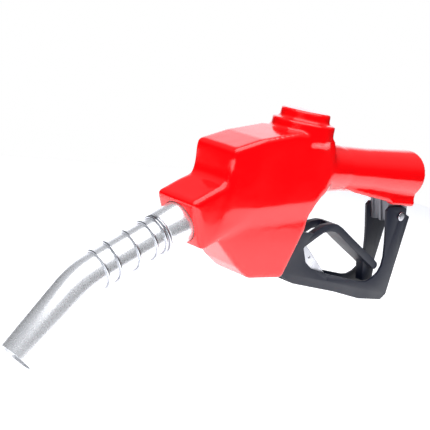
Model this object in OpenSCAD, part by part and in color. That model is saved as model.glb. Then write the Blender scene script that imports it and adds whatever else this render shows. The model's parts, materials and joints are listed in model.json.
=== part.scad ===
// Automatic shut-off fuel nozzle, 1 inch high-flow pattern.
// Millimetres. The origin is the centre of the hose inlet mouth.
// +X points out of the inlet, +Z points up along the main valve, and Y = 0 is the mid-plane.

/* [Handle and inlet] */
// Radius of the covered handle where it meets the body
handle_r = 21.5; // [20:0.5:24]
// Radius of the covered handle at the inlet end
handle_end_r = 24.3; // [23:0.1:26]
// Radius of the 1 inch pipe thread in the inlet
inlet_thread_r = 16.6; // [16:0.1:17]
// Length of the inlet thread
inlet_thread_len = 20; // [16:1:22]
// Radius of the fuel passage in the handle
handle_bore_r = 13.5; // [12:0.5:14]

/* [Body] */
// Half width of the cover over the upper body
body_half_w = 25; // [24:0.5:27]
// Half width of the lower skirt that hides the lever's front end
skirt_half_w = 22.5; // [22:0.5:24]
// Wall of the red vinyl cover
cover_wall = 2.8; // [2:0.1:2.8]
// Gap between the cover and the casting
cover_gap = 0.15; // [0.1:0.05:0.3]
// Radius of the lower tier of the cap boss
cap_r = 28.7; // [27:0.1:30]
// Radius of the upper tier of the cap boss
cap_top_r = 22.6; // [21:0.1:24]

/* [Spout] */
// Outer radius of the spout, 1-3/16 inch over the tube
spout_r = 15.1; // [14.5:0.1:15.1]
// Wall of the spout tube
spout_wall = 1.7; // [1.2:0.1:2]
// Angle of the straight spout below the handle axis
spout_angle = 28; // [26:1:30]
// Further bend towards the tip
spout_bend = 24; // [18:1:28]
// Radius of the bend on the tube's centre line
bend_r = 70; // [60:1:90]
// Straight length from the nose to the bend
spout_straight = 87.7; // [80:0.1:95]
// Straight length from the bend to the tip
spout_tip_len = 64; // [55:1:75]
// Turns of the anchor spring
anchor_turns = 5.2; // [4:0.1:6]

/* [Lever] */
// Half width of the lever between the guard plates
lever_half_w = 10.8; // [10:0.1:11]
// Thickness of the lever bar
lever_t = 7.6; // [6:0.1:8]
// Free play between the lever and the main stem
stem_play = 0.8; // [0.5:0.1:1.5]

/* [Guard] */
// Thickness of each guard plate
guard_t = 2.5; // [2:0.5:2.5]
// Half distance between the guard plates
guard_inner = 11.5; // [11.5:0.1:12]

/* [Hidden] */
$fn = 64;
eps = 0.01;

red = "#d81414";
dark = "#34373f";
alloy = "#c4c7cc";
steel = "#b9bcc2";
brass = "#c9a75a";
rubber = "#202124";

// Main valve axis, trip axis and where they stand along X
valve_x = -174;
trip_x = -228;
// Middle of the nose's front face
nose_x = -301.5;
nose_z = -55.8;
// Half sizes of the covered nose
nose_half_w = 24.4;
nose_up = 23.5;
nose_down = 22.5;
nose_len = 55;

// Main valve heights
seat_z = -15;
land_z = -17;
chamber_floor_z = -38;
casting_floor_z = -50;
casting_top_z = 31;
cap_flange_z = 31.2;
chamber_r = 17.5;
seat_bore_r = 13;
lower_chamber_r = 15;
stem_r = 4;
stem_bore_r = 4.05;

// Cap boss heights
boss_base_z = 31;
boss_mid_z = 41;
boss_top_z = 50.5;

// Trip stem and its latch
trip_r = 4.5;
trip_bore_r = 4.55;
trip_pocket_r = 8;
trip_boss_r = 9.8;
trip_ledge_z = -52;
trip_collar_z = -28;
pivot_z = -84;
diaphragm_z = 9;
diaphragm_cap_top_z = 18;

// Guard, its rear rivet and its front bolt
rivet_x = -13.5;
rivet_z = -41.2;
rivet_r = 3;
bolt_x = -191;
bolt_z = -54;
bolt_r = 3;
guard_outer = guard_inner + guard_t;

// Hold-open clip
clip_x = -108;
clip_z = -104.5;
clip_tip_x = -141;
clip_tip_z = -76;
clip_half_w = 5;
clip_pin_r = 2;

// Spout frame: local +Z points out of the nose along the straight spout
nose_bore_r = 17.05;
spout_bore_r = spout_r - spout_wall;
collar_len = 22;
collar_r = 17;
collar_root_r = 18.3;

lever_pad_z = -74;
stem_tip_z = lever_pad_z + stem_play;

// Outline points are [x, z, inset along x, inset along z]
upper_outline = [
    [-277, 12.5, 1, -0.85], [-245, 23, 0.15, -1.05], [-203, 32, 0.1, -1],
    [-158, 32, -0.3, -1], [-146, 24, -1, -0.54], [-146, -18, -1, 0.5], [-158, -28, -0.85, 0.75],
    [-165, -41, -1.1, 0.6], [-172, -43, 0, 1], [-250, -47.5, 0, 1], [-277, -57, 1, 1]
];
skirt_outline = [
    [-166, -35, -1, 0], [-164, -53, -1, 0], [-182.4, -100.5, -0.7, 1],
    [-226, -100.5, 0.35, 1], [-243, -90, 0.6, 0.8], [-273, -66, 1, 0.5], [-273, -35, 1, 0]
];

// Shared shapes

module ring(outer, inner, low, high) {
    translate([0, 0, low]) difference() {
        cylinder(r = outer, h = high - low);
        translate([0, 0, -1]) cylinder(r = inner, h = high - low + 2);
    }
}

module at_valve() {
    translate([valve_x, 0, 0]) children();
}

module at_trip() {
    translate([trip_x, 0, 0]) children();
}

module on_spout(s = 0) {
    translate([nose_x, 0, nose_z])
        rotate([0, -90 - spout_angle, 0])
            translate([0, 0, s]) children();
}

module across(x, z) {
    translate([x, 0, z]) rotate([90, 0, 0]) children();
}

// A side outline drawn in X and Z, and given its width along Y
module side_block(outline, half_w, g = 0) {
    rotate([90, 0, 0])
        linear_extrude(height = 2 * half_w, center = true)
            polygon([for (p = outline) [p[0] + g * p[2], p[1] + g * p[3]]]);
}

module side_plate(points, low, high) {
    translate([0, high, 0])
        rotate([90, 0, 0])
            linear_extrude(height = high - low) polygon(points);
}

module o_ring(mean_r, wire_r) {
    rotate_extrude() translate([mean_r, 0]) circle(r = wire_r, $fn = 24);
}

module hex(r, low, high) {
    translate([0, 0, low]) cylinder(r = r, h = high - low, $fn = 6);
}

// Round wire wound along Z: its ends are closed, and each turn has the same pitch
module coil(mean_r, wire_r, low, high, turns, sides = 6, steps = 14) {
    n = ceil(turns * steps);
    rise = high - low - 2 * wire_r;
    points = [
        for (i = [0 : n]) for (j = [0 : sides - 1])
            let (a = 360 * turns * i / n, b = 360 * j / sides, q = mean_r + wire_r * cos(b))
            [q * cos(a), q * sin(a), low + wire_r + rise * i / n + wire_r * sin(b)]
    ];
    walls = [
        for (i = [0 : n - 1]) for (j = [0 : sides - 1])
            let (k = (j + 1) % sides)
            [i * sides + j, i * sides + k, (i + 1) * sides + k, (i + 1) * sides + j]
    ];
    first = [for (j = [sides - 1 : -1 : 0]) j];
    last = [for (j = [0 : sides - 1]) n * sides + j];
    polyhedron(points = points, faces = concat([first], walls, [last]), convexity = 8);
}

// Solids that the cover, and what is inside it, share

module nose_block(g, front) {
    on_spout()
        translate([-nose_down + g, -nose_half_w + g, -nose_len])
            cube([nose_up + nose_down - 2 * g, 2 * (nose_half_w - g), nose_len - front]);
}

module handle_sleeve(g, rear) {
    taper = (handle_end_r - handle_r) / 75;
    translate([-75, 0, 0])
        rotate([0, 90, 0])
            cylinder(r1 = handle_r - g, r2 = handle_r - g + taper * (75 - rear), h = 75 - rear);
    translate([-160, 0, 0])
        rotate([0, 90, 0])
            cylinder(r = handle_r - g, h = 85);
}

module cap_boss(g) {
    at_valve() {
        translate([0, 0, boss_base_z - 6])
            cylinder(r = cap_r - g, h = boss_mid_z - boss_base_z + 6 - g);
        translate([0, 0, boss_mid_z - g - 1])
            cylinder(r = cap_top_r - g, h = boss_top_z - boss_mid_z + 1);
    }
}

module keel(half_w, top_z) {
    side_plate([
        [-112, -16], [-98, -19.5], [-14, -30], [-1.5, -30], [-1.5, -16]
    ], -half_w, half_w);
    translate([-38, -19, top_z]) cube([36.5, 38, 3]);
}

module insulator_cover() {
    color(red) difference() {
        union() {
            side_block(upper_outline, body_half_w);
            side_block(skirt_outline, skirt_half_w);
            nose_block(0, 0);
            handle_sleeve(0, 1.5);
            cap_boss(0);
            keel(17.5, -30);
        }
        side_block(upper_outline, body_half_w - cover_wall, cover_wall);
        side_block(skirt_outline, skirt_half_w - cover_wall, cover_wall);
        nose_block(cover_wall, cover_wall);
        handle_sleeve(cover_wall, 0);
        cap_boss(cover_wall);
        on_spout(-5) cylinder(r = 19.6, h = 10);
        // The skirt is open at the rear for the gland, the guard and the lever
        translate([-200, -skirt_half_w + cover_wall, -97.6])
            cube([50, 2 * (skirt_half_w - cover_wall), 62.3]);
        // Slot for the lug under the handle
        translate([-42, -11.8, -40]) cube([50, 23.6, 30]);
    }
}

module body_casting() {
    g = cover_wall + cover_gap;
    color(alloy) difference() {
        union() {
            intersection() {
                side_block(upper_outline, body_half_w - g, g);
                translate([-300, -30, -46]) cube([160, 60, 100]);
            }
            nose_block(g, g);
            handle_sleeve(g, 0);
            translate([-242, -11.4, casting_floor_z]) cube([76.8, 22.8, 14]);
            at_valve() translate([0, 0, -10]) cylinder(r = 21.8, h = casting_top_z + 10);
            at_trip() translate([0, 0, -56]) cylinder(r = trip_boss_r, h = 10);
            translate([bolt_x - 7, -11.4, -60]) cube([14, 22.8, 12]);
            // Lug for the guard's rear rivet, with its three ribs
            side_plate([
                [-36, -14], [-33.5, -29], [-26, -47.5], [-9, -47.5], [-4, -42], [-4, -14]
            ], -10.4, 10.4);
            for (y = [-11.4, -1.5, 8.4]) {
                side_plate([
                    [-38, -14], [-35.5, -29], [-27.5, -49], [-8, -49], [-3, -43], [-3, -14]
                ], y, y + 3);
            }
        }
        // Inlet thread, strainer seat and handle passage
        translate([-inlet_thread_len, 0, 0]) rotate([0, 90, 0]) cylinder(r = inlet_thread_r, h = 40);
        translate([-inlet_thread_len - 4, 0, 0]) rotate([0, 90, 0]) cylinder(r = 15.2, h = 5);
        translate([valve_x, 0, 0]) rotate([0, 90, 0]) cylinder(r = handle_bore_r, h = 160);
        at_valve() {
            translate([0, 0, seat_z - 0.05]) cylinder(r = chamber_r, h = 60);
            translate([0, 0, land_z - 1]) cylinder(r = seat_bore_r, h = 5);
            translate([0, 0, chamber_floor_z]) cylinder(r = lower_chamber_r, h = land_z - chamber_floor_z);
            translate([0, 0, -41]) cylinder(r = 4.1, h = 10);
            translate([0, 0, -60]) cylinder(r = 7, h = 20);
            ring(21, 18.4, casting_top_z - 2, casting_top_z + 1);
        }
        // Outlet passage, which parts round the trip boss
        difference() {
            translate([-262, -17, -36.5]) cube([84, 34, 18]);
            at_trip() translate([0, 0, -60]) cylinder(r = trip_boss_r, h = 60);
        }
        on_spout(-44) cylinder(r = nose_bore_r, h = 60);
        on_spout(-60) cylinder(r = 9, h = 20);
        // Diaphragm chamber and the flat that its cap sits on
        translate([-250, -30, diaphragm_z + 1]) cube([44, 60, 40]);
        at_trip() {
            translate([0, 0, diaphragm_z]) cylinder(r = 17.55, h = 5);
            translate([0, 0, 3]) cylinder(r = 16, h = 20);
            translate([0, 0, -16]) cylinder(r = 7.05, h = 30);
            translate([0, 0, -30]) cylinder(r = 5, h = 30);
            translate([0, 0, -60]) cylinder(r = trip_pocket_r, h = 38);
            for (x = [-16.5, 16.5]) for (y = [-17, 17]) {
                translate([x, y, 2]) cylinder(r = 1.85, h = 20);
            }
        }
        across(rivet_x, rivet_z) cylinder(r = rivet_r + 0.02, h = 60, center = true);
        across(bolt_x, bolt_z) cylinder(r = bolt_r + 0.02, h = 60, center = true);
        on_spout(-14) rotate([0, -90, 0]) cylinder(r = 2.02, h = 40);
    }
}

module inlet_strainer() {
    color(brass) translate([-inlet_thread_len - 4, 0, 0]) rotate([0, -90, 0]) {
        ring(15.1, 11.6, -3, 0);
        difference() {
            translate([0, 0, -0.5]) cylinder(r1 = 12.8, r2 = 7, h = 42);
            translate([0, 0, -1.5]) cylinder(r1 = 12, r2 = 6.2, h = 42.2);
            for (k = [0 : 4]) for (a = [0 : 45 : 315]) {
                rotate([0, 0, a + 22.5 * (k % 2)])
                    translate([0, 0, 5 + 7.5 * k])
                        rotate([0, 90, 0]) cylinder(r = 1.7, h = 20, $fn = 16);
            }
        }
    }
}

module strainer_ring() {
    color(steel) translate([-inlet_thread_len - 0.1, 0, 0]) rotate([0, -90, 0]) ring(15.15, 13, 0, 0.8);
}

module body_cap() {
    color(alloy) at_valve() difference() {
        union() {
            translate([0, 0, 23]) cylinder(r = 17.4, h = cap_flange_z - 23 + eps);
            translate([0, 0, cap_flange_z]) cylinder(r = 25.4, h = 6.5);
            translate([0, 0, cap_flange_z + 6]) cylinder(r = 19.4, h = 9.8);
        }
        translate([0, 0, 20]) cylinder(r = 12, h = 14);
        // Slot for the cap wrench
        translate([-13, -2.5, 43]) cube([26, 5, 10]);
    }
}

module cap_o_ring() {
    color(rubber) at_valve() translate([0, 0, casting_top_z - 0.9]) o_ring(19.7, 1.1);
}

module main_valve_spring() {
    color(steel) at_valve() coil(9, 1.2, -8.95, 34, 6.5);
}

module main_poppet() {
    color(brass) at_valve() {
        ring(15.5, 3, seat_z + 2, seat_z + 6);
        ring(6.2, 3, seat_z + 6 - eps, seat_z + 11);
    }
}

module poppet_seal() {
    color(rubber) at_valve() ring(15, 3, seat_z, seat_z + 2);
}

module poppet_retainer() {
    color(brass) at_valve() ring(9.5, 3, seat_z - 3, seat_z);
}

module main_stem() {
    color(steel) at_valve() {
        translate([0, 0, seat_z - 4]) cylinder(r = 3, h = 14.5);
        translate([0, 0, stem_tip_z + stem_r]) cylinder(r = stem_r, h = seat_z - 3 - stem_tip_z - stem_r);
        translate([0, 0, stem_tip_z + stem_r]) sphere(r = stem_r);
    }
}

module stem_packing() {
    color("#efece2") at_valve() ring(6.95, stem_bore_r, -46, -40);
}

module packing_gland() {
    color(brass) at_valve() difference() {
        union() {
            translate([0, 0, casting_floor_z]) cylinder(r = 6.95, h = 4);
            hex(9, -54, casting_floor_z + eps);
        }
        translate([0, 0, -60]) cylinder(r = 4.08, h = 20);
    }
}

module diaphragm_cap() {
    color(alloy) at_trip() difference() {
        translate([-21.5, -21, diaphragm_z + 1]) cube([43, 42, diaphragm_cap_top_z - diaphragm_z - 1]);
        translate([0, 0, 5]) cylinder(r = 15.5, h = 11);
        for (x = [-16.5, 16.5]) for (y = [-17, 17]) {
            translate([x, y, 5]) cylinder(r = 2, h = 20);
            translate([x, y, 15.8]) cylinder(r = 3.4, h = 5);
        }
    }
}

module diaphragm_cap_screws() {
    color(steel) at_trip() for (x = [-16.5, 16.5]) for (y = [-17, 17]) {
        translate([x, y, 0]) difference() {
            union() {
                translate([0, 0, 3]) cylinder(r = 1.8, h = 13);
                translate([0, 0, 15.85]) cylinder(r = 3.2, h = 2);
            }
            hex(1.5, 16.6, 20);
        }
    }
}

module diaphragm() {
    color(rubber) at_trip() ring(17.4, 7.4, diaphragm_z, diaphragm_z + 1);
}

module diaphragm_plate() {
    color(brass) at_trip() ring(7, 2, diaphragm_z - 0.4, diaphragm_z + 1.2);
}

module diaphragm_spring() {
    color(steel) at_trip() coil(4.6, 0.45, diaphragm_z + 1.25, 15.95, 3.5);
}

module latch_pin() {
    color(steel) at_trip() {
        translate([0, 0, -4]) cylinder(r = 2, h = 14.5);
        translate([0, 0, -12]) cylinder(r1 = 0.9, r2 = 1.25, h = 8 + eps);
    }
}

module latch_ring() {
    color(steel) at_trip() ring(7, 4.6, -16, -12);
}

module latch_balls() {
    color(steel) at_trip() for (a = [0 : 120 : 240]) {
        rotate([0, 0, a]) translate([2.9, 0, -9]) sphere(r = 1.5);
    }
}

module trip_stem() {
    color(steel) at_trip() difference() {
        union() {
            translate([0, 0, -74]) cylinder(r = trip_r, h = 72);
            translate([0, 0, trip_collar_z]) cylinder(r = 7.4, h = 3);
            translate([0, 3.4, pivot_z]) rotate([90, 0, 0]) cylinder(r = 4.8, h = 6.8);
            translate([-4.5, -3.4, pivot_z]) cube([9, 6.8, 12]);
        }
        // Latch bore and the three ball pockets
        translate([0, 0, -14]) cylinder(r = 2.1, h = 20);
        for (a = [0 : 120 : 240]) {
            rotate([0, 0, a]) translate([0, 0, -9]) rotate([0, 90, 0]) cylinder(r = 1.6, h = 8);
        }
        translate([0, 0, pivot_z]) rotate([90, 0, 0]) cylinder(r = 3.02, h = 20, center = true);
    }
}

module trip_spring() {
    color(steel) at_trip() coil(6.2, 0.9, trip_ledge_z, trip_collar_z, 5.5);
}

module trip_bushing() {
    color(brass) at_trip() difference() {
        union() {
            translate([0, 0, -56]) cylinder(r = 7.9, h = 4);
            hex(10.5, -60, -56 + eps);
        }
        translate([0, 0, -70]) cylinder(r = trip_bore_r, h = 30);
    }
}

// Centre line of the lever's side view, from the pivot to the rear end
lever_line = [
    [-228, -84], [-200, -81.5], [-174, -78.5], [-158, -74.5], [-146, -69.8], [-134.2, -62.4],
    [-125, -57.2], [-114.5, -55.3], [-106, -56], [-98.6, -59], [-79.4, -69.3], [-59.8, -79.4],
    [-39.9, -89.3], [-32.5, -93.6]
];

// Direction of the line at point k, and the outline that lies half a thickness to each side
function heading(line, k) =
    let (a = line[max(k - 1, 0)], b = line[min(k + 1, len(line) - 1)])
    atan2(b[1] - a[1], b[0] - a[0]);
function beside(line, k, side) =
    line[k] + side * lever_t / 2 * [-sin(heading(line, k)), cos(heading(line, k))];
function lever_outline(line) =
    let (n = len(line) - 1, end = heading(line, n))
    concat(
        [for (k = [0 : n]) beside(line, k, 1)],
        [for (a = [60 : -30 : -60]) line[n] + lever_t / 2 * [cos(end + a), sin(end + a)]],
        [for (k = [n : -1 : 0]) beside(line, k, -1)]
    );

module lever() {
    color(dark) difference() {
        union() {
            difference() {
                union() {
                    side_plate(lever_outline(lever_line), -lever_half_w, lever_half_w);
                    across(trip_x, pivot_z) cylinder(r = 4.8, h = 2 * lever_half_w, center = true);
                }
                // The front is a fork with two arms
                translate([-240, -lever_half_w + 5.5, -110]) cube([128, 2 * lever_half_w - 11, 80]);
            }
            // Stop that hangs below the rear end
            side_plate([[-46, -88.5], [-30, -96], [-25, -97], [-24, -109], [-39, -111.5]], -4.5, 4.5);
            // Cross web that lifts the main stem
            translate([valve_x - 9, -lever_half_w + 3, lever_pad_z - 5])
                cube([18, 2 * lever_half_w - 6, 5]);
        }
        across(trip_x, pivot_z) cylinder(r = 3.05, h = 60, center = true);
    }
}

module lever_pivot_pin() {
    color(steel) across(trip_x, pivot_z) difference() {
        cylinder(r = 3, h = 32, center = true);
        for (z = [-14.6, 13.8]) ring(4, 2.4, z, z + 0.8);
    }
}

module lever_pin_clips() {
    color(steel) across(trip_x, pivot_z) for (z = [-14.6, 13.8]) ring(5, 2.4, z + 0.05, z + 0.75);
}

guard_outline = [
    [-199, -46.9], [-170.8, -46.9], [-163.8, -59], [-135.6, -61], [-95.4, -71], [-55.2, -71],
    [-39.1, -59], [-39.1, -36.8], [-35.1, -32.3], [-13.1, -31], [-6.4, -33.1], [-5.1, -38.8],
    [1.2, -41.2], [-7.9, -123.3], [-15, -128.8], [-52.2, -126.6], [-93.4, -118.3],
    [-156.8, -108.7], [-171.8, -102.7], [-176.9, -98.2], [-199, -91.1]
];
guard_window = [
    [-131.6, -50.9], [-148.7, -67.5], [-151.7, -75], [-144.7, -88.1], [-135.6, -94.2],
    [-111.5, -100.2], [-77.3, -105.7], [-52, -109.2], [-44, -109], [-36, -106], [-28.5, -100],
    [-25.2, -93], [-25, -84], [-28, -70], [-31.1, -59], [-38.6, -35.8], [-55.2, -30.8]
];

module guard() {
    color(dark) difference() {
        union() {
            for (low = [-guard_outer, guard_inner]) {
                difference() {
                    side_plate(guard_outline, low, low + guard_t);
                    side_plate(guard_window, low - 1, low + guard_t + 1);
                }
            }
            side_plate([
                [-15, -128.8], [-52.2, -126.6], [-93.4, -118.3], [-156.8, -108.7],
                [-156.8, -106.1], [-93.4, -115.7], [-52.2, -124], [-15, -126.2]
            ], -guard_inner - eps, guard_inner + eps);
        }
        across(rivet_x, rivet_z) cylinder(r = rivet_r + 0.02, h = 60, center = true);
        across(bolt_x, bolt_z) cylinder(r = bolt_r + 0.02, h = 60, center = true);
        across(clip_x, clip_z) cylinder(r = clip_pin_r + 0.02, h = 60, center = true);
    }
}

module guard_rear_rivet() {
    color(steel) across(rivet_x, rivet_z) {
        cylinder(r = rivet_r, h = 2 * guard_outer, center = true);
        for (side = [-1, 1]) {
            translate([0, 0, side * (guard_outer + 0.7)]) cylinder(r = 4.6, h = 1.4, center = true);
        }
    }
}

module guard_front_bolt() {
    color(steel) across(bolt_x, bolt_z) {
        translate([0, 0, -guard_outer - 1.6]) cylinder(r = bolt_r, h = 2 * guard_outer + 1.6);
        translate([0, 0, guard_outer]) cylinder(r = 5, h = 1.9);
    }
}

module guard_front_nut() {
    color(steel) across(bolt_x, bolt_z) difference() {
        hex(5.4, -guard_outer - 1.9, -guard_outer);
        cylinder(r = bolt_r, h = 60, center = true);
    }
}

module hold_open_clip() {
    dx = clip_tip_x - clip_x;
    dz = clip_tip_z - clip_z;
    reach = sqrt(dx * dx + dz * dz);
    color(steel) translate([clip_x, 0, clip_z]) rotate([0, -atan2(dz, dx), 0]) difference() {
        union() {
            // Web with two flanges, and a curled tip
            translate([4, -clip_half_w, 1.6]) cube([reach - 4, 2 * clip_half_w, 1.4]);
            for (low = [-clip_half_w, clip_half_w - 1.4]) {
                translate([4, low, -3]) cube([reach - 12, 1.4, 5]);
                translate([0, low, 0]) rotate([-90, 0, 0]) cylinder(r = 4.2, h = 1.4);
                translate([0, low, -3]) cube([6, 1.4, 6]);
            }
            translate([reach, clip_half_w, 0.2]) rotate([90, 0, 0]) cylinder(r = 2.8, h = 2 * clip_half_w);
        }
        rotate([90, 0, 0]) cylinder(r = clip_pin_r + 0.05, h = 60, center = true);
        translate([reach, 0, 0.2]) rotate([90, 0, 0]) cylinder(r = 1.5, h = 60, center = true);
    }
}

module clip_pin() {
    color(steel) across(clip_x, clip_z) cylinder(r = clip_pin_r, h = 2 * guard_outer - 0.6, center = true);
}

module clip_spring() {
    color(steel) across(clip_x, clip_z) coil(2.9, 0.45, -3.4, 3.4, 4);
}

// Tube that follows the spout: a straight run, a bend and a straight tip
module spout_run(r, start, tip_len, side = 0) {
    on_spout(start) translate([side, 0, 0]) cylinder(r = r, h = spout_straight - start);
    on_spout(spout_straight) {
        translate([-bend_r, 0, 0])
            rotate([90, 0, 0])
                rotate_extrude(angle = spout_bend, $fn = 128) translate([bend_r + side, 0]) circle(r = r);
        translate([-bend_r, 0, 0])
            rotate([0, -spout_bend, 0])
                translate([bend_r + side, 0, 0]) cylinder(r = r, h = tip_len);
    }
}

module spout_tube() {
    color(alloy) difference() {
        union() {
            spout_run(spout_r, -26, spout_tip_len);
            on_spout(-2.5) cylinder(r = collar_root_r - 0.3, h = 2.5 + eps);
            on_spout() cylinder(r1 = collar_root_r, r2 = collar_r, h = collar_len);
        }
        spout_run(spout_bore_r, -30, spout_tip_len + 4);
        // Sensing hole of the vacuum tube
        on_spout(spout_straight)
            translate([-bend_r, 0, 0])
                rotate([0, -spout_bend, 0])
                    translate([bend_r, 0, spout_tip_len - 9])
                        rotate([0, -90, 0]) cylinder(r = 1.6, h = 30);
        on_spout(-14) rotate([0, -90, 0]) cylinder(r = 2.02, h = 30);
    }
}

module spout_bushing() {
    color(brass) difference() {
        on_spout(-26) ring(17, spout_r, 0, 20);
        on_spout(-21.6) ring(18, 15.6, 0, 2.7);
        on_spout(-14) rotate([0, -90, 0]) cylinder(r = 2.02, h = 30);
    }
}

module spout_o_ring() {
    color(rubber) on_spout(-20.25) o_ring(16.32, 0.7);
}

module spout_screw() {
    color(steel) on_spout(-14) rotate([0, -90, 0]) {
        translate([0, 0, spout_bore_r + 0.2]) cylinder(r = 2, h = 5.5);
    }
}

module venturi_seat() {
    color(brass) on_spout(-36) difference() {
        cylinder(r = 17, h = 9.9);
        translate([0, 0, -1]) cylinder(r = 10.5, h = 12);
        translate([0, 0, 7.4]) cylinder(r1 = 10.5, r2 = 13.1, h = 2.6);
    }
}

module check_poppet() {
    color("#e7e4da") on_spout(-28.5) {
        translate([0, 0, 0.4]) cylinder(r1 = 10.4, r2 = 12.4, h = 2);
        translate([0, 0, 2.4 - eps]) cylinder(r1 = 12.4, r2 = 3, h = 9);
        translate([0, 0, -29.8]) cylinder(r = 2.4, h = 31);
    }
}

module check_guide() {
    color(brass) on_spout(-44) {
        ring(17, 14, 0, 7.9);
        difference() {
            union() {
                cylinder(r = 4.6, h = 5);
                for (a = [0, 90]) rotate([0, 0, a]) translate([-15, -1.2, 0]) cube([30, 2.4, 5]);
            }
            translate([0, 0, -1]) cylinder(r = 2.45, h = 20);
        }
    }
}

module check_spring() {
    color(steel) on_spout(-51.9) coil(3.7, 0.5, 0, 7.85, 4);
}

module check_nut() {
    color(steel) on_spout() difference() {
        hex(4.6, -58.3, -56);
        translate([0, 0, -60]) cylinder(r = 2.4, h = 10);
    }
}

module vacuum_tube() {
    side = -spout_bore_r + 2.4;
    color(steel) difference() {
        spout_run(2.2, -10, spout_tip_len - 5, side);
        spout_run(1.4, -14, spout_tip_len - 7, side);
        on_spout(spout_straight)
            translate([-bend_r, 0, 0])
                rotate([0, -spout_bend, 0])
                    translate([bend_r, 0, spout_tip_len - 9])
                        rotate([0, -90, 0]) cylinder(r = 1.3, h = 30);
    }
}

module anchor_spring() {
    color(steel) on_spout(collar_len + 0.2)
        coil(spout_r + 1.15, 1.05, 0, spout_straight - collar_len + 1, anchor_turns, 8, 28);
}

insulator_cover();
body_casting();
inlet_strainer();
strainer_ring();
body_cap();
cap_o_ring();
main_valve_spring();
main_poppet();
poppet_seal();
poppet_retainer();
main_stem();
stem_packing();
packing_gland();
diaphragm_cap();
diaphragm_cap_screws();
diaphragm();
diaphragm_spring();
diaphragm_plate();
latch_pin();
latch_ring();
latch_balls();
trip_stem();
trip_spring();
trip_bushing();
lever();
lever_pivot_pin();
lever_pin_clips();
guard();
guard_rear_rivet();
guard_front_bolt();
guard_front_nut();
hold_open_clip();
clip_pin();
clip_spring();
spout_tube();
spout_bushing();
spout_o_ring();
spout_screw();
venturi_seat();
check_poppet();
check_spring();
check_guide();
check_nut();
vacuum_tube();
anchor_spring();
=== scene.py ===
import json
import math
import bpy
from mathutils import Vector, Matrix


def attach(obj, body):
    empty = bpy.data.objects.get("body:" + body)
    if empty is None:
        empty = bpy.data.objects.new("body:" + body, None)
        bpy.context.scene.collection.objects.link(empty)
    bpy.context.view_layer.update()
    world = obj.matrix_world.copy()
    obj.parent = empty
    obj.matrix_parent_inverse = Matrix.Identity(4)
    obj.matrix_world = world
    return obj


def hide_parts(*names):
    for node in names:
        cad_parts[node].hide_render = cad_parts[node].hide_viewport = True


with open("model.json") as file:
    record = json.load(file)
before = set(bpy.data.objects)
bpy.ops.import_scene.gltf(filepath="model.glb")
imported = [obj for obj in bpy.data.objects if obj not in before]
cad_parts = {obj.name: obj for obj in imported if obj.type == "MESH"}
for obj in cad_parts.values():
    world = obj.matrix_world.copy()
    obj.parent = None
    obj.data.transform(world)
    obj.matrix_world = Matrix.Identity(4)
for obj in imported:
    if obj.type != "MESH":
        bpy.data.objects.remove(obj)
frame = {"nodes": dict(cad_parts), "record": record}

scene = bpy.context.scene
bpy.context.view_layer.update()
mm = 0.001


# helpers; lengths are given in millimetres

def point(x, y, z):
    return Vector((x * mm, y * mm, z * mm))


def pick(obj):
    # only this object is selected and active
    if bpy.context.mode != "OBJECT":
        bpy.ops.object.mode_set(mode="OBJECT")
    bpy.ops.object.select_all(action="DESELECT")
    obj.select_set(True)
    bpy.context.view_layer.objects.active = obj


def edit(obj):
    pick(obj)
    bpy.ops.object.mode_set(mode="EDIT")
    bpy.ops.mesh.select_mode(type="VERT")


def leave():
    bpy.ops.object.mode_set(mode="OBJECT")


def settle(obj):
    # the place goes into the mesh
    pick(obj)
    bpy.ops.object.transform_apply(location=True, rotation=True, scale=True)


def applyAll(obj):
    pick(obj)
    for name in [m.name for m in obj.modifiers]:
        bpy.ops.object.modifier_apply(modifier=name)


def joined(objs):
    # several closed shapes as one mesh
    pick(objs[0])
    for obj in objs[1:]:
        obj.select_set(True)
    bpy.ops.object.join()
    return objs[0]


def boolean(obj, other, operation="DIFFERENCE"):
    # cuts the other shape out of this one, or adds it, and removes the other
    for item in (obj, other):
        outward(item)
    step = obj.modifiers.new("cut", "BOOLEAN")
    step.operation = operation
    step.object = other
    step.solver = "MANIFOLD"
    applyAll(obj)
    bpy.data.objects.remove(other, do_unlink=True)


def skinned(obj, voxel, rounds):
    # one even skin over overlapping shapes, its edges rounded by smoothing
    skin = obj.modifiers.new("skin", "REMESH")
    skin.mode = "VOXEL"
    skin.voxel_size = voxel * mm
    soft = obj.modifiers.new("soft", "SMOOTH")
    soft.factor = 0.5
    soft.iterations = rounds
    applyAll(obj)


def softEdges(obj, width, segments, angle):
    step = obj.modifiers.new("edges", "BEVEL")
    step.width = width * mm
    step.segments = segments
    step.limit_method = "ANGLE"
    step.angle_limit = math.radians(angle)
    step.harden_normals = False
    applyAll(obj)


def smoothShade(obj, angle):
    pick(obj)
    bpy.ops.object.shade_smooth_by_angle(angle=math.radians(angle))


def outward(obj):
    # merges what coincides and turns every face outwards
    edit(obj)
    bpy.ops.mesh.select_all(action="SELECT")
    bpy.ops.mesh.remove_doubles(threshold=0.000005)
    bpy.ops.mesh.normals_make_consistent(inside=False)
    leave()


def block(low, high):
    # a cube between two corners
    low, high = Vector(low), Vector(high)
    bpy.ops.object.select_all(action="DESELECT")
    bpy.ops.mesh.primitive_cube_add(size=1, location=(low + high) / 2 * mm, scale=(high - low) * mm)
    obj = bpy.context.object
    settle(obj)
    return obj


def cutOff(obj, at, normal):
    # cuts off what lies on the normal's side of a plane, and closes the cut
    edit(obj)
    bpy.ops.mesh.select_all(action="SELECT")
    bpy.ops.mesh.bisect(plane_co=point(*at), plane_no=Vector(normal).normalized(), use_fill=True,
                        clear_outer=True)
    bpy.ops.mesh.select_all(action="SELECT")
    bpy.ops.mesh.normals_make_consistent(inside=False)
    leave()


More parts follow.
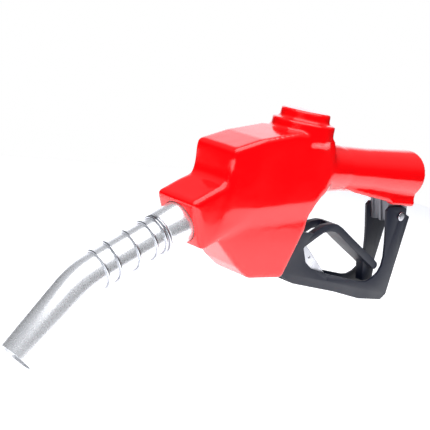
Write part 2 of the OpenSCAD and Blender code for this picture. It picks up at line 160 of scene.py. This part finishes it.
def cutLine(obj, a, b):
    # cuts off what lies to the left of the line from a to b, drawn in X and Z
    dx, dz = b[0] - a[0], b[1] - a[1]
    cutOff(obj, (a[0], 0, a[1]), (-dz, 0, dx))


def drum(radius, low, high, axis="Z", at=(0, 0, 0), sides=96, topRadius=None):
    # a cylinder or cone between two places on an axis
    middle = (low + high) / 2
    turn = {"X": (0, math.pi / 2, 0), "Y": (-math.pi / 2, 0, 0), "Z": (0, 0, 0)}[axis]
    along = {"X": (1, 0, 0), "Y": (0, 1, 0), "Z": (0, 0, 1)}[axis]
    place = (Vector(at) + Vector(along) * middle) * mm
    bpy.ops.object.select_all(action="DESELECT")
    bpy.ops.mesh.primitive_cone_add(vertices=sides, radius1=radius * mm,
                                    radius2=(radius if topRadius is None else topRadius) * mm,
                                    depth=(high - low) * mm, location=place, rotation=turn)
    obj = bpy.context.object
    settle(obj)
    return obj


def finished(obj, name, body, slot, *nodes):
    # names the piece, gives it its slot's finish, and says what it rides on and stands for
    obj.name = name
    obj.data.name = name
    obj.data.materials.clear()
    obj.data.materials.append(finishes[slot])
    settle(obj)
    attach(obj, body)
    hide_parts(*nodes)
    print("made", name, len(obj.data.polygons), "faces")


# camera and light

view = {
    "turn": -45.7,          # degrees round from looking along +Y
    "rise": 10.0,           # degrees above the horizon
    "roll": 11.9,           # degrees the camera is tilted
    "distance": 938.7,
    "aim": (-261.1, 0, -49.3),
    "lens": 91.8,           # millimetres on a 36 mm sensor
}


def makeCamera():
    turn, rise, roll = (math.radians(view[k]) for k in ("turn", "rise", "roll"))
    right = Vector((math.cos(turn), math.sin(turn), 0))
    back = Vector((math.sin(turn) * math.cos(rise), -math.cos(turn) * math.cos(rise), math.sin(rise)))
    up = back.cross(right)
    rolledRight = right * math.cos(roll) + up * math.sin(roll)
    rolledUp = up * math.cos(roll) - right * math.sin(roll)
    data = bpy.data.cameras.new("camera")
    data.lens = view["lens"]
    data.sensor_width = 36
    data.clip_start = 0.01
    data.clip_end = 50
    camera = bpy.data.objects.new("camera", data)
    place = point(*view["aim"]) + back * view["distance"] * mm
    turned = Matrix((rolledRight, rolledUp, back)).transposed().to_4x4()
    camera.matrix_world = Matrix.Translation(place) @ turned
    scene.collection.objects.link(camera)
    scene.camera = camera


makeCamera()
print("camera placed")

studio = {
    "floorZ": -177,         # millimetres
    "floorNear": -0.5,      # metres; past this edge the glossy sides show the dim room
    "floorLeft": -1.0,
    "floorSize": (2.0, 1.35),
    "floorColour": "#fbfbfb",
    "floorGlow": 0.46,
    "topPlace": (-0.55, -0.25, 0.95),
    "topAim": (-0.55, -0.2, 0),
    "topSize": (1.9, 1.3),
    "topPower": 19,
    "leftPlace": (-1.15, -0.35, 0.42),
    "leftAim": (-0.25, 0, -0.03),
    "leftSize": (0.5, 0.9),
    "frontPlace": (-0.35, -1.3, 0.55),
    "frontAim": (-0.2, 0, -0.03),
    "frontSize": (0.9, 0.4),
    "sidePower": 8.5,
    "sky": 0.26,            # the room's own light, all round
    "skySteps": [(0.0, 0.1), (0.22, 0.16), (0.55, 1.0)],    # how high, and how bright it is there
    "backdrop": 1.45,
    "backdropWay": (0.62, 0.76, 0.2),
    "backdropEdge": (0.87, 0.975),      # cosines of the angles where it fades out and where it is full
    "coolWhite": (0.93, 0.945, 1, 1),
}


def areaLight(name, place, aim, size, power, mirrored=True):
    data = bpy.data.lights.new(name, "AREA")
    data.shape = "RECTANGLE"
    data.size, data.size_y = size
    data.energy = power
    lamp = bpy.data.objects.new(name, data)
    lamp.location = place
    lamp.rotation_euler = (Vector(aim) - Vector(place)).to_track_quat("-Z", "Y").to_euler()
    lamp.visible_glossy = mirrored
    scene.collection.objects.link(lamp)


def node(tree, kind, links=(), **settings):
    # one node with its settings; links are (input, output) pairs
    item = tree.nodes.new(kind)
    for key, value in settings.items():
        setattr(item, key, value)
    for socket, source in links:
        if hasattr(source, "links"):
            tree.links.new(source, item.inputs[socket])
        else:
            item.inputs[socket].default_value = source
    return item


def linear(code):
    # an sRGB hex colour as linear values, with full alpha
    values = [int(code[k:k + 2], 16) / 255 for k in (1, 3, 5)]
    return tuple(v / 12.92 if v <= 0.04045 else ((v + 0.055) / 1.055) ** 2.4 for v in values) + (1.0,)


def makeStudio():
    world = bpy.data.worlds.new("studio")
    world.use_nodes = True
    scene.world = world
    tree = world.node_tree
    tree.nodes.clear()
    path = node(tree, "ShaderNodeLightPath")
    coords = node(tree, "ShaderNodeTexCoord")
    height = node(tree, "ShaderNodeSeparateXYZ", [(0, coords.outputs["Generated"])])
    # the room is dim near the horizon and lighter overhead
    ramp = node(tree, "ShaderNodeValToRGB", [(0, height.outputs["Z"])])
    (low, dark), (middle, dusk), (high, light) = studio["skySteps"]
    stops = ramp.color_ramp.elements
    stops[0].position, stops[0].color = low, (dark, dark, dark, 1)
    stops[1].position, stops[1].color = high, (light, light, light, 1)
    stops.new(middle).color = (dusk, dusk, dusk, 1)
    dim = node(tree, "ShaderNodeMath", [(0, ramp.outputs["Color"]), (1, studio["sky"])], operation="MULTIPLY")
    # and a pale backdrop stands behind the object
    behind = node(tree, "ShaderNodeVectorMath", [(0, coords.outputs["Generated"]), (1, studio["backdropWay"])],
                  operation="DOT_PRODUCT")
    fades, full = studio["backdropEdge"]
    backdrop = node(tree, "ShaderNodeMapRange", [("Value", behind.outputs["Value"]), ("From Min", fades),
                                                 ("From Max", full), ("To Max", studio["backdrop"])])
    glow = node(tree, "ShaderNodeMath", [(0, backdrop.outputs["Result"]), (1, dim.outputs[0])], operation="ADD")
    room = node(tree, "ShaderNodeBackground", [("Color", studio["coolWhite"]),
                                               ("Strength", glow.outputs[0])])
    plain = node(tree, "ShaderNodeBackground", [("Color", (1, 1, 1, 1)), ("Strength", 1.0)])
    both = node(tree, "ShaderNodeMixShader", [(0, path.outputs["Is Camera Ray"]), (1, room.outputs[0]),
                                              (2, plain.outputs[0])])
    node(tree, "ShaderNodeOutputWorld", [(0, both.outputs[0])])

    bpy.ops.object.select_all(action="DESELECT")
    wide, deep = studio["floorSize"]
    middle = (studio["floorLeft"] + wide / 2, studio["floorNear"] + deep / 2, studio["floorZ"] * mm)
    bpy.ops.mesh.primitive_plane_add(size=1, location=middle)
    bpy.ops.transform.resize(value=(wide, deep, 1))
    floor = bpy.context.object
    floor.name = "floor"
    paint = bpy.data.materials.new("whiteTable")
    paint.use_nodes = True
    shader = paint.node_tree.nodes["Principled BSDF"]
    shader.inputs["Base Color"].default_value = linear(studio["floorColour"])
    shader.inputs["Roughness"].default_value = 0.6
    shader.inputs["Emission Color"].default_value = studio["coolWhite"]
    shader.inputs["Emission Strength"].default_value = studio["floorGlow"]
    floor.data.materials.append(paint)

    areaLight("topSoftbox", studio["topPlace"], studio["topAim"], studio["topSize"], studio["topPower"])
    # these two light the matt sides only, and the gloss doesn't show them
    areaLight("leftFill", studio["leftPlace"], studio["leftAim"], studio["leftSize"], studio["sidePower"], False)
    areaLight("frontFill", studio["frontPlace"], studio["frontAim"], studio["frontSize"],
              studio["sidePower"], False)
    scene.view_settings.view_transform = "Standard"
    scene.view_settings.look = "None"


makeStudio()
print("studio lit")


# materials

def newMaterial(name, **values):
    material = bpy.data.materials.new(name)
    material.use_nodes = True
    tree = material.node_tree
    shader = tree.nodes["Principled BSDF"]
    for key, value in values.items():
        shader.inputs[key.replace("_", " ")].default_value = value
    return material, tree, shader, node(tree, "ShaderNodeTexCoord").outputs["Object"]


def cloudy(tree, shader, place, look):
    # patches of two colours that differ in gloss too, under a raised grain; lengths in millimetres
    patches = node(tree, "ShaderNodeTexNoise", [("Vector", place), ("Scale", 1 / (look["patch"] * mm)),
                                                ("Detail", 3)])
    colour = node(tree, "ShaderNodeMix", [(0, patches.outputs["Fac"]), (6, linear(look["colours"][0])),
                                          (7, linear(look["colours"][1]))], data_type="RGBA")
    gloss = node(tree, "ShaderNodeMapRange", [("Value", patches.outputs["Fac"]), ("From Min", 0.3),
                                              ("From Max", 0.7), ("To Min", look["rough"][0]),
                                              ("To Max", look["rough"][1])])
    grain = node(tree, "ShaderNodeTexNoise", [("Vector", place), ("Scale", 1 / (look["grain"] * mm)),
                                              ("Detail", 4), ("Roughness", 0.6)])
    raised = node(tree, "ShaderNodeBump", [("Height", grain.outputs["Fac"]), ("Distance", look["raised"] * mm),
                                           ("Strength", 0.6)])
    tree.links.new(colour.outputs[2], shader.inputs["Base Color"])
    tree.links.new(gloss.outputs["Result"], shader.inputs["Roughness"])
    tree.links.new(raised.outputs["Normal"], shader.inputs["Normal"])
    return raised


def redVinyl():
    # dip-moulded plastisol: wet-looking gloss, hazed where hands rub it, over a slow ripple and a fine peel
    look = {"colours": ("#e80208", "#dc0106"), "patch": 34, "rough": (0.10, 0.19), "grain": 1.6, "raised": 0.01,
            "ripple": 14, "rippleHeight": 0.35}
    material, tree, shader, place = newMaterial("redVinyl", IOR=1.5, Coat_Weight=0.3, Coat_Roughness=0.04,
                                                Coat_IOR=1.5)
    peel = cloudy(tree, shader, place, look)
    ripple = node(tree, "ShaderNodeTexNoise", [("Vector", place), ("Scale", 1 / (look["ripple"] * mm)),
                                               ("Detail", 2)])
    slow = node(tree, "ShaderNodeBump", [("Height", ripple.outputs["Fac"]),
                                         ("Distance", look["rippleHeight"] * mm), ("Strength", 0.5)])
    tree.links.new(slow.outputs["Normal"], peel.inputs["Normal"])
    return material


def blastedAluminium():
    # cast aluminium, blasted with fine bead: pale satin that scatters part of its light, with a speckled
    # gloss; the bead's 0.1 mm dimples are drawn 0.9 mm wide so that they show
    material, tree, shader, place = newMaterial("blastedAluminium", Metallic=0.8)
    cloudy(tree, shader, place, {"colours": ("#ffffff", "#d6dae3"), "patch": 1.3, "rough": (0.24, 0.34),
                                 "grain": 0.9, "raised": 0.03})
    return material


def springSteel():
    # drawn stainless wire, bright; its die lines are too fine to see, so a 0.5 mm mottle stands for them
    material, tree, shader, place = newMaterial("springSteel", Metallic=1.0)
    cloudy(tree, shader, place, {"colours": ("#d6d8dd", "#c2c5cb"), "patch": 0.9, "rough": (0.14, 0.24),
                                 "grain": 0.5, "raised": 0.01})
    return material


def nylonCoatedSteel():
    # steel bar with a baked nylon coat: blue-black and satin, with a 1 mm pebble
    material, tree, shader, place = newMaterial("nylonCoatedSteel", IOR=1.5)
    cloudy(tree, shader, place, {"colours": ("#0f1320", "#181d2c"), "patch": 30, "rough": (0.4, 0.52),
                                 "grain": 1.0, "raised": 0.04})
    return material


def brightZinc():
    # zinc-plated pressed steel: blue-white, slightly cloudy
    material, tree, shader, place = newMaterial("brightZinc", Metallic=1.0)
    cloudy(tree, shader, place, {"colours": ("#dfe0e6", "#cfd1d8"), "patch": 9, "rough": (0.18, 0.34),
                                 "grain": 0.8, "raised": 0.01})
    return material


def castAluminium():
    # sand-cast and tumbled aluminium: dull grey, with 0.8 mm grains
    material, tree, shader, place = newMaterial("castAluminium", Metallic=0.85)
    cloudy(tree, shader, place, {"colours": ("#7d8087", "#92959c"), "patch": 20, "rough": (0.42, 0.58),
                                 "grain": 0.8, "raised": 0.1})
    return material


def turnedBrass():
    # brass bar turned on a lathe: a 0.4 mm tool mottle and slight tarnish
    material, tree, shader, place = newMaterial("turnedBrass", Metallic=1.0)
    cloudy(tree, shader, place, {"colours": ("#d6b263", "#b8924a"), "patch": 6, "rough": (0.22, 0.36),
                                 "grain": 0.4, "raised": 0.01})
    return material


def nitrileRubber():
    # moulded nitrile: black and dull, with a faint bloom
    material, tree, shader, place = newMaterial("nitrileRubber", IOR=1.52)
    cloudy(tree, shader, place, {"colours": ("#17181a", "#26272a"), "patch": 3, "rough": (0.62, 0.76),
                                 "grain": 0.6, "raised": 0.03})
    return material


def whitePlastic(name, light, dark):
    # turned PTFE or moulded acetal: waxy white, with 2 mm cloudiness
    material, tree, shader, place = newMaterial(name, IOR=1.38)
    cloudy(tree, shader, place, {"colours": (light, dark), "patch": 2, "rough": (0.36, 0.46),
                                 "grain": 0.5, "raised": 0.01})
    return material


finishes = {
    "red_vinyl": redVinyl(),
    "spout_aluminium": blastedAluminium(),
    "cast_aluminium": castAluminium(),
    "black_coat": nylonCoatedSteel(),
    "zinc_plated_steel": brightZinc(),
    "stainless_steel": springSteel(),
    "brass": turnedBrass(),
    "rubber": nitrileRubber(),
    "ptfe": whitePlastic("turnedPtfe", "#f2f0ea", "#e4e1d8"),
    "acetal": whitePlastic("mouldedAcetal", "#e9e5da", "#d9d4c6"),
}
for entry in frame["record"]["subparts"]:
    part = frame["nodes"][entry["node"]]
    part.data.materials.clear()
    part.data.materials.append(finishes[entry["material_slot"]])
print("materials set")


# the red cover

cover = {
    "wall": 2.8,
    "halfWidth": 25,
    "spoutAngle": 28,       # degrees below level
    "noseFace": (-301.5, 0, -55.8),
    "noseHalfWidth": 24.4,
    "noseUp": 23.5,
    "noseDown": 22.5,
    "noseLength": 58,
    "noseEdge": 4.5,        # how far each block's edges are rounded
    "bodyEdge": 3.5,
    "skirtEdge": 3,
    "bodyBox": ((-277, -56), (-146, 32)),           # X and Z of two corners
    "crest": [(-277, 12.5), (-245, 23), (-203, 32)],
    "shoulder": [(-158, 32), (-146, 24)],
    "step": [(-255, -40), (-172, -29.4)],           # upper edge of the band where the sides step in
    "stepIn": 2.5,
    "stepDown": 14.9,
    "skirtHalfWidth": 22.5,
    "skirtBox": ((-273, -100.5), (-150, -30)),
    "skirtRear": [(-164, -53), (-182.4, -100.5)],
    "chin": [(-226, -100.5), (-243, -90), (-273, -66)],
    "gripRadius": 33,       # the hollow for the fingers, behind the skirt
    "gripAt": (-132.5, 0, -50),
    "capRadius": 28.7,
    "capTopRadius": 22.6,
    "capLevels": (24, 41, 50.5),
    "capOverlap": 3,
    "valveX": -174,
    "handleRadius": 21.5,
    "handleEndRadius": 24.3,
    "handleFront": -150,
    "handleFlare": -75,
    "handleEnd": -1.6,
    "swellRadii": (24.9, 21.4),
    "swellEnd": -112,
    "keelHalfWidth": 17.4,
    "keelTop": -14,
    "keel": [(-14, -30), (-98, -19.5), (-112, -16)],
    "tab": ((-38, -18.9, -28.6), (-1.6, 18.9, -25)),
    "openingRadius": 18.7,
    "rearOpening": ((-200, -19.7, -97.6), (-150, 19.7, -35.3)),
    "lugSlot": ((-42, -11.8, -40), (8, 11.8, -10)),
    "blockVoxel": 1.0,
    "voxel": 1.3,
    "innerVoxel": 1.8,
    "smoothing": 10,
    "cornerSmoothing": 90,
    # more smoothing where the handle leaves the body: how far along X, and between which heights
    "softRear": 24,
    "softHeights": (-34, -22, 27),
    # and in the corners under the nose and over the brow: middle X and Z, and the reach of each
    "softSpots": [(-262, -46, 26, 20), (-277, -11, 15, 15)],
    "softStrength": 1.6,
}


def noseBlock(g, front):
    # in line with the spout; front is how far behind the nose's face it starts
    angle = math.radians(cover["spoutAngle"])
    up, down, half = cover["noseUp"] - g, cover["noseDown"] - g, cover["noseHalfWidth"] - g
    obj = block((front, -half, -down), (cover["noseLength"], half, up))
    if front == 0:
        softEdges(obj, cover["noseEdge"], 5, 60)
    pick(obj)
    obj.location = point(*cover["noseFace"])
    obj.rotation_euler = (0, -angle, 0)
    settle(obj)
    return obj


def bodyBlock(g):
    # g is how far inside the skin it lies
    half = cover["halfWidth"] - g
    (front, bottom), (rear, top) = cover["bodyBox"]
    obj = block((front + g, -half, bottom + g), (rear - g, half, top - g))
    crest = cover["crest"]
    for (x0, z0), (x1, z1) in zip(crest, crest[1:]):
        cutLine(obj, (x0, z0 - g), (x1, z1 - g))
    (x0, z0), (x1, z1) = cover["shoulder"]
    cutLine(obj, (x0 - g / 3, z0 - g), (x1 - g, z1 - g / 2))
    # the sides step in to the skirt along a sloping band
    (frontX, frontZ), (rearX, rearZ) = cover["step"]
    for side in (-1, 1):
        corner = point(rearX, side * half, rearZ)
        along = point(frontX, side * half, frontZ) - corner
        across = point(rearX, side * (half - cover["stepIn"]), rearZ - cover["stepDown"]) - corner
        normal = along.cross(across)
        if normal.z > 0:
            normal = -normal
        cutOff(obj, tuple(corner / mm), tuple(normal))
    if g == 0:
        softEdges(obj, cover["bodyEdge"], 4, 25)
    return obj


def skirtBlock(g):
    half = cover["skirtHalfWidth"] - g
    (front, bottom), (rear, top) = cover["skirtBox"]
    obj = block((front + g, -half, bottom + g), (rear, half, top))
    (x0, z0), (x1, z1) = cover["skirtRear"]
    cutLine(obj, (x0 - g, z0), (x1 - g, z1))
    (x0, z0), (x1, z1), (x2, z2) = cover["chin"]
    cutLine(obj, (x1 + g * 0.6, z1 + g * 0.8), (x2 + g * 0.6, z2 + g * 0.8))
    cutLine(obj, (x0 + g * 0.5, z0 + g * 0.8), (x1 + g * 0.5, z1 + g * 0.8))
    if g == 0:
        softEdges(obj, cover["skirtEdge"], 4, 25)
    return obj


def handleTube(g, rear):
    flareX = cover["handleFlare"]
    slope = (cover["handleEndRadius"] - cover["handleRadius"]) / -flareX
    radius = cover["handleRadius"] - g
    tube = drum(radius, cover["handleFront"], flareX + 1, "X")
    flare = drum(radius, flareX, rear, "X", topRadius=radius + slope * (rear - flareX))
    return [tube, flare]


def capBoss(g):
    # two round tiers over the main valve
    at = (cover["valveX"], 0, 0)
    base, ledge, top = cover["capLevels"]
    return [drum(cover["capRadius"] - g, base, ledge - g, "Z", at),
            drum(cover["capTopRadius"] - g, ledge - cover["capOverlap"] - g, top - g, "Z", at)]


def keelBlock():
    # the ridge under the handle, and the tab at its end
    half, rows = cover["keelHalfWidth"], cover["keel"]
    keel = block((rows[-1][0], -half, rows[0][1]), (cover["handleEnd"], half, cover["keelTop"]))
    for a, b in zip(rows, rows[1:]):
        cutLine(keel, a, b)
    return [keel, block(*cover["tab"])]


def cornerWeight(x, z):
    # how strongly the dipped skin rounds a place in the corners where the handle and the nose leave the body
    bodyRear = cover["bodyBox"][1][0]
    low, full, high = cover["softHeights"]
    rise = max(0.0, min(1.0, (z - low) / (full - low)))
    weight = max(0.0, 1 - abs(x - bodyRear) / cover["softRear"]) * rise * (z < high)
    for middleX, middleZ, reachX, reachZ in cover["softSpots"]:
        spot = max(0.0, 1 - abs(x - middleX) / reachX) * max(0.0, 1 - abs(z - middleZ) / reachZ)
        weight = max(weight, spot)
    return min(1.0, cover["softStrength"] * weight)


def makeCover():
    g = cover["wall"]
    shell = joined([bodyBlock(0), skirtBlock(0)])
    skinned(shell, cover["blockVoxel"], 0)
    boolean(shell, drum(cover["gripRadius"], -40, 40, "Y", cover["gripAt"]))
    wide, narrow = cover["swellRadii"]
    swell = drum(wide, cover["bodyBox"][1][0], cover["swellEnd"], "X", topRadius=narrow)
    joined([shell, noseBlock(0, 0), swell] + handleTube(0, cover["handleEnd"]) + capBoss(0) + keelBlock())
    skinned(shell, cover["voxel"], cover["smoothing"])
    soft = shell.vertex_groups.new(name="soft")
    for vert in shell.data.vertices:
        weight = cornerWeight(vert.co.x / mm, vert.co.z / mm)
        if weight > 0:
            soft.add([vert.index], weight, "REPLACE")
    corner = shell.modifiers.new("corner", "SMOOTH")
    corner.factor = 0.5
    corner.iterations = cover["cornerSmoothing"]
    corner.vertex_group = "soft"
    applyAll(shell)
    shell.vertex_groups.clear()

    inside = joined([bodyBlock(g), skirtBlock(g), noseBlock(g, g)] + handleTube(g, 3) + capBoss(g))
    skinned(inside, cover["innerVoxel"], 2)
    boolean(shell, inside)
    # mouth for the spout, the open rear of the skirt, the slot for the lug and the handle's open end
    mouth = drum(cover["openingRadius"], -6, 8, "X")
    mouth.location = point(*cover["noseFace"])
    mouth.rotation_euler = (0, -math.radians(cover["spoutAngle"]), 0)
    settle(mouth)
    boolean(shell, mouth)
    boolean(shell, block(*cover["rearOpening"]))
    boolean(shell, block(*cover["lugSlot"]))
    boolean(shell, drum(cover["handleEndRadius"] - g, -4, 4, "X"))
    smoothShade(shell, 38)
    finished(shell, "insulatorCover", "nozzle_body", "red_vinyl", "insulator_cover")


makeCover()


# the spout and the wire wound on it

spout = {
    "nose": cover["noseFace"],
    "angle": cover["spoutAngle"],
    "wall": 1.7,
    "straight": 87.7,
    "bendRadius": 70,
    "bend": 24,
    "tip": 64,
    "sides": 72,
    "bendSteps": 16,
    "edge": 0.45,
    # distance from the nose and radius of the root, which swells where the spring ends
    "root": [(-29, 15.1), (-2.6, 15.1), (-2.4, 18.0), (-1.8, 18.3), (4, 18.1), (20.8, 17.15),
             (21.6, 16.9), (22, 16.4), (22.1, 15.1)],
}


def alongSpout(s, up=0, out=0):
    # a place s from the nose, with an offset up and towards the near side
    angle = math.radians(spout["angle"])
    x, y, z = spout["nose"]
    c, n = math.cos(angle), math.sin(angle)
    return point(x - s * c - up * n, y - out, z - s * n + up * c)


def makeSpout():
    root = spout["root"]
    forward = (alongSpout(1) - alongSpout(0)).normalized()
    bpy.ops.object.select_all(action="DESELECT")
    bpy.ops.mesh.primitive_circle_add(vertices=spout["sides"], radius=root[0][1] * mm, fill_type="NOTHING",
                                      location=alongSpout(root[0][0]),
                                      rotation=(0, math.radians(-90 - spout["angle"]), 0))
    tube = bpy.context.object
    settle(tube)
    edit(tube)
    bpy.ops.mesh.select_all(action="SELECT")
    for (s0, r0), (s1, r1) in zip(root, root[1:]):
        bpy.ops.mesh.extrude_region_move(TRANSFORM_OT_translate={"value": forward * (s1 - s0) * mm})
        bpy.ops.transform.resize(value=(r1 / r0,) * 3, center_override=alongSpout(s1))
    rest = spout["straight"] - root[-1][0]
    bpy.ops.mesh.extrude_region_move(TRANSFORM_OT_translate={"value": forward * rest * mm})
    centre = alongSpout(spout["straight"], up=-spout["bendRadius"])
    bpy.ops.mesh.spin(steps=spout["bendSteps"], angle=math.radians(spout["bend"]), center=centre, axis=(0, 1, 0))
    turned = Matrix.Rotation(-math.radians(spout["bend"]), 3, "Y") @ forward
    bpy.ops.mesh.extrude_region_move(TRANSFORM_OT_translate={"value": turned * spout["tip"] * mm})
    leave()
    outward(tube)
    wall = tube.modifiers.new("wall", "SOLIDIFY")
    wall.thickness = spout["wall"] * mm
    wall.offset = -1
    wall.use_even_offset = True
    applyAll(tube)
    softEdges(tube, spout["edge"], 3, 50)
    smoothShade(tube, 30)
    finished(tube, "spout", "nozzle_body", "spout_aluminium", "spout_tube")


makeSpout()

anchor = {
    "wire": 1.05,
    "radius": 16.25,
    # turns from the top of the spout, towards the near side, and the distance from the nose there
    "stations": [(0.28, 23.2), (1, 23.3), (2, 25.6), (3, 35.1), (3.5, 40.6), (4, 52.9), (4.5, 58.8),
                 (5, 72.6), (5.5, 77.8), (6, 86.8), (6.6, 87.6)],
    "pointsPerTurn": 32,
}


def woundTo(turn):
    # where along the spout the wire is after so many turns, on a smooth curve through the stations
    known = anchor["stations"]
    k = max(i for i in range(len(known) - 1) if known[i][0] <= turn)
    (t0, s0), (t1, s1) = known[k], known[k + 1]
    slopes = []
    for i in (k, k + 1):
        before, after = known[max(i - 1, 0)], known[min(i + 1, len(known) - 1)]
        slopes.append((after[1] - before[1]) / (after[0] - before[0]))
    u, span = (turn - t0) / (t1 - t0), t1 - t0
    return (s0 * (2 * u ** 3 - 3 * u ** 2 + 1) + s1 * (3 * u ** 2 - 2 * u ** 3)
            + span * (slopes[0] * (u ** 3 - 2 * u ** 2 + u) + slopes[1] * (u ** 3 - u ** 2)))


def makeAnchor():
    # wire wound down the spout: close at the root, then open
    curve = bpy.data.curves.new("anchorWire", "CURVE")
    curve.dimensions = "3D"
    curve.bevel_depth = anchor["wire"] * mm
    curve.bevel_resolution = 4
    curve.use_fill_caps = True
    first, last = anchor["stations"][0][0], anchor["stations"][-1][0]
    count = int((last - first) * anchor["pointsPerTurn"])
    line = curve.splines.new("POLY")
    line.points.add(count)
    for k in range(count + 1):
        turn = first + (last - first) * k / count
        angle = 2 * math.pi * turn
        up, out = anchor["radius"] * math.cos(angle), anchor["radius"] * math.sin(angle)
        place = alongSpout(woundTo(turn), up, out)
        line.points[k].co = (*place, 1)
    wire = bpy.data.objects.new("anchorWire", curve)
    scene.collection.objects.link(wire)
    pick(wire)
    bpy.ops.object.convert(target="MESH")
    outward(wire)
    smoothShade(wire, 60)
    finished(wire, "anchorSpring", "nozzle_body", "stainless_steel", "anchor_spring")


makeAnchor()


# guard, lever, clip and their fixings

def refined(partName, name, body, slot, width, segments=3, angle=28):
    # the node's own shape with its loose triangles merged and its edges rounded
    source = frame["nodes"][partName]
    obj = bpy.data.objects.new(name, source.data.copy())
    scene.collection.objects.link(obj)
    edit(obj)
    bpy.ops.mesh.select_all(action="SELECT")
    bpy.ops.mesh.remove_doubles(threshold=0.00002)
    bpy.ops.mesh.normals_make_consistent(inside=False)
    bpy.ops.mesh.customdata_custom_splitnormals_clear()
    bpy.ops.mesh.dissolve_limited(angle_limit=math.radians(0.6))
    leave()
    softEdges(obj, width, segments, angle)
    smoothShade(obj, 32)
    finished(obj, name, body, slot, partName)


edges = {                   # how far each part's edges are rounded
    "guard": 0.9,
    "lever": 3.1,
    "rivet": 1.1,
    "casting": 0.5,
}
refined("guard", "handGuard", "nozzle_body", "black_coat", edges["guard"])
refined("lever", "leverBar", "lever", "black_coat", edges["lever"], 4, 40)
refined("guard_rear_rivet", "rearRivet", "nozzle_body", "zinc_plated_steel", edges["rivet"], 4)
refined("body_casting", "casting", "nozzle_body", "cast_aluminium", edges["casting"], 2, 40)

clip = {
    "pivot": (-108, 0, -104.5),
    "pivotRadius": 2.05,
    "holeAt": (-130.4, 0, -86.0),
    "holeRadius": 1.5,
    "halfWidth": 5,
    "sheet": 1.3,
    # corners of one side, from the tip round by the front
    "side": [(-142.3, -75.6), (-136.6, -75.2), (-128.0, -82.0), (-102.5, -101.2), (-104.2, -108.2),
             (-110.5, -108.4), (-128.2, -95.4), (-136.6, -86.5)],
    "frontLength": 30,
    "voxel": 0.45,
    "curlRadius": 3.0,
    "curlSheet": 1.1,
    "curlAt": (-140.0, 0, -77.4),
}


def makeClip():
    # a bent sheet: two sides, the front between them, and a curled tip
    half, sheet = clip["halfWidth"], clip["sheet"]
    xs, zs = zip(*clip["side"])
    parts = []
    for low in (-half, half - sheet):
        side = block((min(xs), low, min(zs)), (max(xs), low + sheet, max(zs)))
        corners = clip["side"]
        for a, b in zip(corners, corners[1:] + corners[:1]):
            cutLine(side, a, b)
        parts.append(side)
    front = block((0, -half, 0), (clip["frontLength"], half, sheet))
    a, b = clip["side"][-2], clip["side"][-1]
    slope = math.atan2(b[1] - a[1], b[0] - a[0])
    pick(front)
    front.location = point(a[0], 0, a[1])
    front.rotation_euler = (0, -slope, 0)
    settle(front)
    parts.append(front)
    body = joined(parts)
    skinned(body, clip["voxel"], 2)
    curl = drum(clip["curlRadius"], -half, half, "Y", clip["curlAt"], 40)
    reach = half + 1        # cutters stand out on both sides
    boolean(curl, drum(clip["curlRadius"] - clip["curlSheet"], -reach, reach, "Y", clip["curlAt"], 40))
    boolean(body, curl, "UNION")
    boolean(body, drum(clip["pivotRadius"], -reach, reach, "Y", clip["pivot"], 32))
    boolean(body, drum(clip["holeRadius"], -reach, reach, "Y", clip["holeAt"], 24))
    smoothShade(body, 40)
    finished(body, "holdOpenClip", "clip", "zinc_plated_steel", "hold_open_clip")


makeClip()
